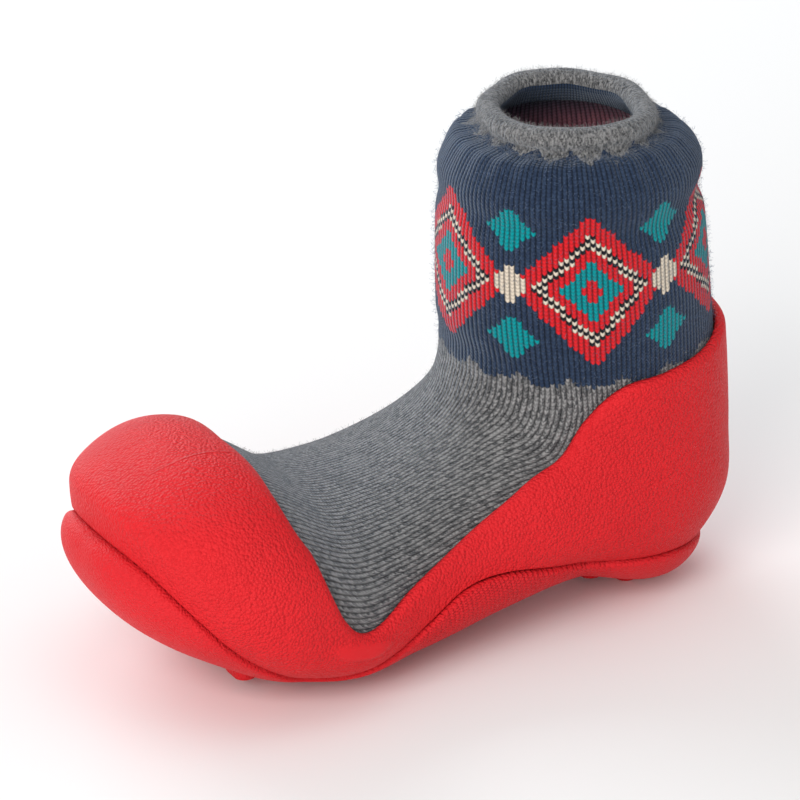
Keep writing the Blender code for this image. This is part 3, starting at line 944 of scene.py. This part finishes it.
class SHOE_OT_fuzz(bpy.types.Operator):
    """Scatters loose fibres over the cuff, the foot and the collar"""
    bl_idname = "shoe.fuzz"
    bl_label = "Fuzz"

    def execute(self, context):
        settings = context.scene.shoe.sock
        tree = fuzz_tree()
        pale_navy = [min(1.0, CUFF_FUZZ_PALER * part) for part in settings.navy_light]
        for name, (density, share, seed) in COATS.items():
            colour = pale_navy if name == "cuff_fuzz" else settings.heather_light
            host = bpy.data.objects.new("host", bpy.data.objects["sock_knit"].data.copy())
            context.scene.collection.objects.link(host)
            modifier = host.modifiers.new("fuzz", "NODES")
            modifier.node_group = tree
            inputs = {
                "Density": density, "Where": name, "Length": settings.fuzz_length * share,
                "Radius": settings.fuzz_radius, "Seed": seed, "Yarn": fuzz_finish(name, colour)}
            for key, value in inputs.items():
                set_input(modifier, key, value)
            context.view_layer.update()
            graph = context.evaluated_depsgraph_get()
            mesh = bpy.data.meshes.new_from_object(host.evaluated_get(graph))
            if len(mesh.polygons) == 0:
                raise RuntimeError(f"{name} has no fibres")
            bpy.data.objects.remove(host)
            fuzz = bpy.data.objects.new(name, mesh)
            context.scene.collection.objects.link(fuzz)
            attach(fuzz, BODY)
        return {"FINISHED"}


# Strips of the shell over the cap and along the band, and rows of each strip's face, edges and seat
CAP_COLUMNS = 64
BAND_COLUMNS = 120
FACE_ROWS = 44
LIP_ROWS = 8
SEAT_ROWS = 14
# Most of a strip that its lip and its lower edge may take, and the share of the wall where the lip ends
LIP_LIMIT = 0.25
FOOT_LIMIT = 0.2
LIP_END = 0.42
# The notch's bottom is smoothed over so many places to each side, so many times
NOTCH_REACH = 8
NOTCH_ROUNDS = 16
# The smooth oval pad beside each notch: distance from the toe tip, degrees, half length, half angle, rise
NOTCH_PAD = (36.0, 101.0, 7.5, 9.0, 0.5)
PAD_FULL = 0.55


def round_notch(cap, band):
    """Rounds the bottom of the notch, where the two stretches of the upper edge meet."""
    edge = np.concatenate([cap[2:, :0:-1], band[2:]], axis=1)
    middle = cap.shape[1] - 1
    first, last = middle - NOTCH_REACH, middle + NOTCH_REACH + 1
    for _ in range(NOTCH_ROUNDS):
        before, after = edge[:, first - 1:last - 1], edge[:, first + 1:last + 1]
        edge[:, first:last] = (before + 2 * edge[:, first:last] + after) / 4
    cap[2:, :0:-1] = edge[:, :middle]
    band[2:] = edge[:, middle:]
    cap[2:, 0] = band[2:, 0]


def strip_ends(end, edge, lift, columns):
    """Places on the groove and on the upper edge for each strip from the notch to the toe or the heel."""
    notch = CAP_EDGE[-1][0]
    return np.array([*groove_places(notch, end, lift, columns + 1), *edge_places(edge, columns + 1)])


def strip_profile(height):
    """Share of the way up and offset from the sock for each row of a strip: foot, face, lip and seat."""
    lip = min(SHELL_LIP / height, LIP_LIMIT)
    foot = min(EDGE_ROUND / height, FOOT_LIMIT)
    turn = np.linspace(0, pi / 2, LIP_ROWS)
    face = np.linspace(foot, 1 - lip, FACE_ROWS)[1:-1]
    up = np.concatenate([
        foot * (1 - np.cos(turn)), face, 1 - lip + lip * np.sin(turn), np.linspace(1, 0, SEAT_ROWS)])
    out = np.concatenate([
        SHELL_WALL - EDGE_ROUND * (1 - np.sin(turn)), np.full(len(face), SHELL_WALL),
        SHELL_WALL * (LIP_END + (1 - LIP_END) * np.cos(turn)), np.full(SEAT_ROWS, SEAT_GAP)])
    return up[:, None], out


def shell_places():
    """Distance, angle and offset of the shell's points, a row for each strip up from the groove and back."""
    lift = GROOVE_GAP / 2
    toe, heel = groove_ends(lift)
    cap = strip_ends(toe, CAP_EDGE[::-1], lift, CAP_COLUMNS)
    band = strip_ends(heel, BAND_EDGE, lift, BAND_COLUMNS)
    cap[1, -1] = band[1, -1] = pi
    round_notch(cap, band)
    strips = []
    for over_toe, places in ((True, cap[:, :0:-1]), (False, band)):
        for place in places.T:
            low, high = place[:2], place[2:]
            up, out = strip_profile(np.linalg.norm(sock_point(*high) - sock_point(*low)))
            if over_toe:
                line = from_flat(flat_place(*low) * (1 - up) + flat_place(*high) * up)
            else:
                line = np.moveaxis(low * (1 - up) + high * up, -1, 0)
            strips.append(np.stack([*line, out]))
    other_side = [strip * np.array((1.0, -1.0, 1.0))[:, None] for strip in strips[-2:0:-1]]
    return np.moveaxis(np.array(strips + other_side), 1, 0)


def notch_pad(distance, angle):
    """Share of the smooth oval pad beside each notch."""
    middle, degrees, half_length, half_angle, _ = NOTCH_PAD
    off_middle = (np.abs(np.degrees(angle)) - degrees) / half_angle
    return soft_step(1.0, PAD_FULL, np.hypot((distance - middle) / half_length, off_middle))


# The rubber: fine grains to a pebble, clouds of colour per metre, heights of both grains, how far a pad
# smooths them, depth in metres
FINE_GRAIN = 2.2
RUBBER_CLOUDS = 60.0
PEBBLE_HEIGHT = 0.9
FINE_HEIGHT = 0.25
PAD_SMOOTHS = 0.9
GRAIN_DEPTH = 0.0004
# Dots at the sole's waist: spacing along and in degrees around, where they fade in and out, half angle,
# steepness, height
DOT_SPACING = 0.85
DOT_DEGREES = 2.0
DOTS_FROM = (44, 52)
DOTS_TO = (80, 90)
DOTS_HALF_ANGLE = 150
DOT_STEEPNESS = 5
DOT_HEIGHT = 0.7
# Fine line over the toe cap: degrees from the top, half width, where it fades in and out, height
LINE_DEGREES = 13.0
LINE_HALF_WIDTH = 0.9
LINE_FROM = (12, 17)
LINE_TO = (24.5, 26)
LINE_HEIGHT = 0.8


def rubber_finish(name, colour, grain, dots=False):
    """Moulded rubber with a fine pebble grain that fades on the pads, with dots or with the cap's line."""
    finish = Finish(name)
    place = finish.place()
    pebble = finish.cells(place, grain)
    fine = finish.noise(place, grain * FINE_GRAIN, 2.0)
    cloud = finish.noise(place, RUBBER_CLOUDS, 3.0)
    height = (1 - pebble) * PEBBLE_HEIGHT + fine * FINE_HEIGHT
    height = height * (1 - finish.attribute("pad") * PAD_SMOOTHS)
    distance, degrees = finish.uv("Rubber")
    if dots:
        row, column = distance / DOT_SPACING, degrees / DOT_DEGREES
        knob = ((row.fract() - 0.5) ** 2 + (column.fract() - 0.5) ** 2) * DOT_STEEPNESS
        waist = distance.rise(*DOTS_FROM) * (1 - distance.rise(*DOTS_TO)) * (abs(degrees) < DOTS_HALF_ANGLE)
        height = height + (1 - knob.least(1.0)) * waist * DOT_HEIGHT
    else:
        line = 1 - abs(degrees - LINE_DEGREES).rise(0.0, LINE_HALF_WIDTH)
        line = line * distance.rise(*LINE_FROM) * (1 - distance.rise(*LINE_TO))
        height = height + line * LINE_HEIGHT
    tint = finish.uneven(cloud.rise(0.3, 0.7), colour, 0.93)
    rough = 0.38 + pebble * 0.2 + fine * 0.06
    finish.set(
        Base_Color=tint, Roughness=rough, Specular_IOR_Level=0.14,
        Normal=finish.bump(height, 1.0, GRAIN_DEPTH))
    return finish.material


class SHOE_OT_shell(bpy.types.Operator):
    """Moulds the toe cap, side bands and heel counter over their solid"""
    bl_idname = "shoe.shell"
    bl_label = "Shell"

    def execute(self, context):
        settings = context.scene.shoe.rubber
        distance, angle, out = shell_places()
        pad = notch_pad(distance, angle)
        outside = ~np.isclose(out, SEAT_GAP)
        points = offset_point(distance, angle, out + NOTCH_PAD[-1] * pad * outside)
        strips, around = distance.shape
        faces, read_rows, read_columns = sheet_faces(strips, around, wrap_rows=True)
        place = np.stack([distance, np.degrees(angle)], -1)[read_rows % strips, read_columns % around]
        shell = mesh_piece(
            "shell_rubber", points.reshape(-1, 3), faces[:, ::-1].tolist(),
            rubber_finish("shell rubber", settings.shell, settings.grain), {"Rubber": place[:, ::-1]})
        write_attribute(shell, "pad", pad.ravel())
        seat(shell, "shell")
        return {"FINISHED"}


# Rings along the sole, points across it, and how much the rings crowd together at its ends
SOLE_RINGS = 150
SOLE_COLUMNS = 72
SOLE_CROWDING = 0.6
# Shape across the sole: fullness of its swell and the share of the half width where the edge turns round
SOLE_POWER = 4
EDGE_FROM = 0.975
# The sole's grain is finer and smoother than the shell's
SOLE_GRAIN = 1.25
SOLE_SMOOTH = 0.35
# Points of half a lug's outline, points that tell the sole's height over a lug
LUG_ARC = 10
NEAR_POINTS = 6
# Rings of a lug over its foot. Columns: height, share of the lug's size
LUG_RINGS = ((0.5, 0.94), (0.18, 0.92), (0.0, 0.84))


def tray_piece(name, distances, half_angles, inner, outer, material):
    """Closed plate under the sock from one offset to another, which comes to a point at both ends."""
    angles = pi + half_angles[:, None] * across_plate(outer.shape[1])
    angles = np.concatenate([angles, angles[:, ::-1]], axis=1)
    offsets = np.concatenate([np.full(outer.shape, inner), outer[:, ::-1]], axis=1)
    rings = offset_point(distances[:, None], angles, offsets)[1:-1]
    angles = angles[1:-1]
    along = np.broadcast_to(distances[1:-1, None], angles.shape)
    count, around = angles.shape
    faces, read_rows, read_columns = sheet_faces(count, around)
    place = np.stack([along, np.degrees(angles) - 180], -1)[read_rows, read_columns % around]
    piece = mesh_piece(name, rings.reshape(-1, 3), faces.tolist(), material, {"Rubber": place})
    close_ends(piece, count, around)
    return piece


def sole_plate():
    """Distances, half angles and outer offsets of the sole, rounded to its edge."""
    toe, heel = groove_ends(-GROOVE_GAP / 2)
    even = np.linspace(0, 1, SOLE_RINGS + 1)
    distances = toe + (heel - toe) * (SOLE_CROWDING * eased(SOLE_RINGS) + (1 - SOLE_CROWDING) * even)
    half_angles = pi - groove_angle(distances, -GROOVE_GAP / 2)
    tread = np.array(TREAD)
    swell = smooth(tread[:, 0], tread[:, 1], distances) - SOLE_EDGE
    to_end = np.minimum(distances - toe, heel - distances)[:, None]
    rise = np.sqrt(1 - (1 - np.clip(to_end / LIP_RUN, 0, 1)) ** 2)
    shares = np.abs(across_plate(SOLE_COLUMNS + 1))
    bulge = (np.sqrt(1 - shares ** SOLE_POWER) + 1 - shares ** SOLE_POWER) / 2
    corner = np.clip((shares - EDGE_FROM) / (1 - EDGE_FROM), 0, 1)
    rounding = EDGE_ROUND * (1 - np.sqrt(1 - corner ** 2))
    return distances, half_angles, SOLE_EDGE + swell * rise * bulge - rounding


def sole_height(points, x, y):
    """Height in the table frame of the sole's lower face around one place."""
    low = points[points[:, 2] < np.median(points[:, 2])]
    nearest = np.argsort(np.hypot(low[:, 0] - x, low[:, 1] - y))[:NEAR_POINTS]
    return low[nearest, 2].min()


def lug_points(x, y, foot, top):
    """Rings of one pill-shaped lug from its root down over a rounded rim to its flat foot."""
    arc = np.linspace(0, pi, LUG_ARC)
    turn = np.concatenate([arc, arc + pi])
    levels = [(top, 1.0)] + [(foot + height, size) for height, size in LUG_RINGS]
    rings = []
    for z, size in levels:
        radius = size * LUG_WIDTH / 2
        straight = np.repeat((1.0, -1.0), len(arc)) * (size * LUG_LENGTH / 2 - radius)
        ring = [x + radius * np.cos(turn), y + straight + radius * np.sin(turn), np.full(len(turn), z)]
        rings.append(np.stack(ring, -1))
    return np.array(rings)


def lug_mesh(sole_points):
    """Points and faces of all lugs."""
    points, faces = [], []
    for x, count, pitch, middle, height in LUG_ROWS:
        for place in range(count):
            y = middle + (place - (count - 1) / 2) * pitch
            bottom = sole_height(sole_points, x, y)
            rings = lug_points(x, y, max(FLOOR, bottom - height), bottom + LUG_ROOT)
            around = rings.shape[1]
            start = len(points)
            quads = sheet_faces(len(rings), around)[0][:, ::-1] + start
            faces += quads.tolist()
            faces.append([start + k for k in range(around)])
            faces.append([start + (len(rings) - 1) * around + k for k in range(around)][::-1])
            points += rings.reshape(-1, 3).tolist()
    return points, faces


class SHOE_OT_outsole(bpy.types.Operator):
    """Moulds the outsole with its lugs over their solid"""
    bl_idname = "shoe.outsole"
    bl_label = "Outsole"

    def execute(self, context):
        settings = context.scene.shoe.rubber
        material = rubber_finish("sole rubber", settings.sole, settings.grain * SOLE_GRAIN, dots=True)
        distances, half_angles, outer = sole_plate()
        plate = tray_piece("outsole_rubber", distances, half_angles, SEAT_GAP, outer, material)
        plate.data.flip_normals()
        corners = np.array([corner.co for corner in plate.data.vertices]) / MM + BOX_CENTRE
        lugs = mesh_piece("lugs", *lug_mesh(corners), material)
        with context.temp_override(active_object=plate, selected_editable_objects=[plate, lugs]):
            bpy.ops.object.join()
        write_attribute(plate, "pad", np.full(len(plate.data.vertices), SOLE_SMOOTH))
        seat(plate, "outsole")
        return {"FINISHED"}


# Rings along the foot bed, points across it, and its crown: height at the edge and fullness
INSOLE_RINGS = 90
INSOLE_COLUMNS = 40
CROWN_EDGE = 0.45
CROWN_POWER = 6
# Nap and clouds of its cloth per metre, share of the nap in the colour, depth of the nap in metres
NAP = 1500.0
CLOTH_CLOUDS = 120.0
NAP_SHARE = 0.6
NAP_DEPTH = 0.0003


def foot_bed_finish(colour):
    """Brushed cloth over foam."""
    finish = Finish("foot bed")
    place = finish.place()
    nap = finish.noise(place, NAP, 3.0, 0.6)
    cloud = finish.noise(place, CLOTH_CLOUDS, 2.0)
    share = (nap * NAP_SHARE + cloud * (1 - NAP_SHARE)).rise(0.25, 0.75)
    finish.set(
        Base_Color=finish.uneven(share, colour, 0.7), Roughness=0.95, Sheen_Weight=0.4,
        Normal=finish.bump(nap, 0.5, NAP_DEPTH))
    return finish.material


class SHOE_OT_foot_bed(bpy.types.Operator):
    """Lays the foot bed in the sock"""
    bl_idname = "shoe.foot_bed"
    bl_label = "Foot bed"

    def execute(self, context):
        share = eased(INSOLE_RINGS)
        distances = INSOLE_TOE + (INSOLE_HEEL - INSOLE_TOE) * share
        spread = (1 - np.abs(2 * share - 1) ** INSOLE_POWER) ** (1 / INSOLE_POWER)
        near = -SOCK_WALL - INSOLE_GAP
        across = np.abs(across_plate(INSOLE_COLUMNS + 1))
        crown = CROWN_EDGE + (1 - CROWN_EDGE) * np.sqrt(1 - across ** CROWN_POWER)
        far = near - INSOLE_THICKNESS * crown[None, :] * np.ones((len(distances), 1))
        material = foot_bed_finish(context.scene.shoe.rubber.foot_bed)
        bed = tray_piece("foot_bed", distances, radians(INSOLE_HALF_ANGLE) * spread, near, far, material)
        seat(bed, "insole")
        return {"FINISHED"}


# The camera turns about one point of the table frame and looks at another
PIVOT = (67.0, 0.0, 53.0)
AIM = (64.0, 3.4, 42.5)
SENSOR = 36.0
# Soft boxes, which face one point. Columns: place in metres, width, power in watts, colour
SOFT_BOXES = {
    "key": ((0.80, 0.70, 0.60), 0.7, 9.5, (1.0, 0.98, 0.96)),
    "top": ((-0.1, 0.1, 1.25), 0.8, 1.2, (0.98, 0.99, 1.0)),
    "rim": ((0.05, -1.05, 0.5), 0.8, 8.0, (0.92, 0.96, 1.0)),
}
LIT_POINT = (0.0, 0.0, 0.04)
SKY_COLOUR = (1.0, 1.0, 1.0, 1.0)
SKY_LIGHT = 0.56
# Side of the floor in metres and its mottle per metre
FLOOR_SIDE = 8.0
MOTTLE = 3.0


def floor_finish(colour):
    """Matte white paper with a trace of mottle."""
    finish = Finish("floor")
    cloud = finish.noise(finish.place(), MOTTLE, 2.0)
    finish.set(Base_Color=finish.uneven(cloud, colour, 0.985), Roughness=0.9, Specular_IOR_Level=0.1)
    return finish.material


def camera_place(settings):
    """Matrix of the camera, which looks from the photograph's direction at the middle of the shoe."""
    flat = np.cos(settings.elevation)
    away = np.array((
        flat * np.cos(settings.azimuth), flat * np.sin(settings.azimuth), np.sin(settings.elevation)))
    place = (np.array(PIVOT) - BOX_CENTRE) * MM + settings.distance * away
    back = place - (np.array(AIM) - BOX_CENTRE) * MM
    turn = Vector(back).to_track_quat("Z", "Y").to_matrix().to_4x4()
    return Matrix.Translation(place) @ turn @ Matrix.Rotation(settings.roll, 4, "Z")


class SHOE_OT_stage(bpy.types.Operator):
    """Lays the floor and sets the lights and the camera"""
    bl_idname = "shoe.stage"
    bl_label = "Stage"

    def execute(self, context):
        settings = context.scene.shoe.stage
        scene = context.scene
        half = FLOOR_SIDE / 2
        mesh = bpy.data.meshes.new("floor")
        corners = [(-half, -half, 0), (half, -half, 0), (half, half, 0), (-half, half, 0)]
        mesh.from_pydata(corners, [], [(0, 1, 2, 3)])
        mesh.materials.append(floor_finish(settings.floor))
        floor = bpy.data.objects.new("floor", mesh)
        scene.collection.objects.link(floor)
        for name, (place, width, power, colour) in SOFT_BOXES.items():
            light = bpy.data.lights.new(name, "AREA")
            light.shape = "SQUARE"
            light.size = width
            light.energy = power
            light.color = colour
            lamp = bpy.data.objects.new(name, light)
            lamp.location = place
            lamp.rotation_euler = (Vector(place) - Vector(LIT_POINT)).to_track_quat("Z", "Y").to_euler()
            scene.collection.objects.link(lamp)
        world = bpy.data.worlds.new("studio")
        world.use_nodes = True
        sky = world.node_tree.nodes["Background"].inputs
        sky["Color"].default_value = SKY_COLOUR
        sky["Strength"].default_value = SKY_LIGHT
        scene.world = world
        scene.view_settings.view_transform = "Standard"
        lens = bpy.data.cameras.new("camera")
        lens.sensor_width = SENSOR
        lens.lens = settings.lens
        camera = bpy.data.objects.new("camera", lens)
        camera.matrix_world = camera_place(settings)
        scene.collection.objects.link(camera)
        scene.camera = camera
        return {"FINISHED"}


class SHOE_PT_panel(bpy.types.Panel):
    """Lists the pieces of the shoe and their settings"""
    bl_idname = "SHOE_PT_panel"
    bl_label = "Sock shoe"
    bl_space_type = "VIEW_3D"
    bl_region_type = "UI"
    bl_category = "Sock shoe"

    def draw(self, context):
        settings = context.scene.shoe
        for group in (settings.sock, settings.rubber, settings.stage):
            box = self.layout.box()
            for name in group.bl_rna.properties.keys():
                if name not in ("name", "rna_type"):
                    box.prop(group, name)
        for operator in OPERATORS:
            self.layout.operator(operator.bl_idname)


OPERATORS = (SHOE_OT_sock, SHOE_OT_fuzz, SHOE_OT_shell, SHOE_OT_outsole, SHOE_OT_foot_bed, SHOE_OT_stage)
CLASSES = (SockSettings, RubberSettings, StageSettings, ShoeSettings, *OPERATORS, SHOE_PT_panel)


def register():
    for item in CLASSES:
        bpy.utils.register_class(item)
    bpy.types.Scene.shoe = bpy.props.PointerProperty(
        name="Sock shoe", description="Settings of the sock shoe", type=ShoeSettings)


def unregister():
    del bpy.types.Scene.shoe
    for item in reversed(CLASSES):
        bpy.utils.unregister_class(item)


def main():
    register()
    bpy.ops.shoe.sock()
    bpy.ops.shoe.fuzz()
    bpy.ops.shoe.shell()
    bpy.ops.shoe.outsole()
    bpy.ops.shoe.foot_bed()
    bpy.ops.shoe.stage()


if __name__ == "__main__":
    main()
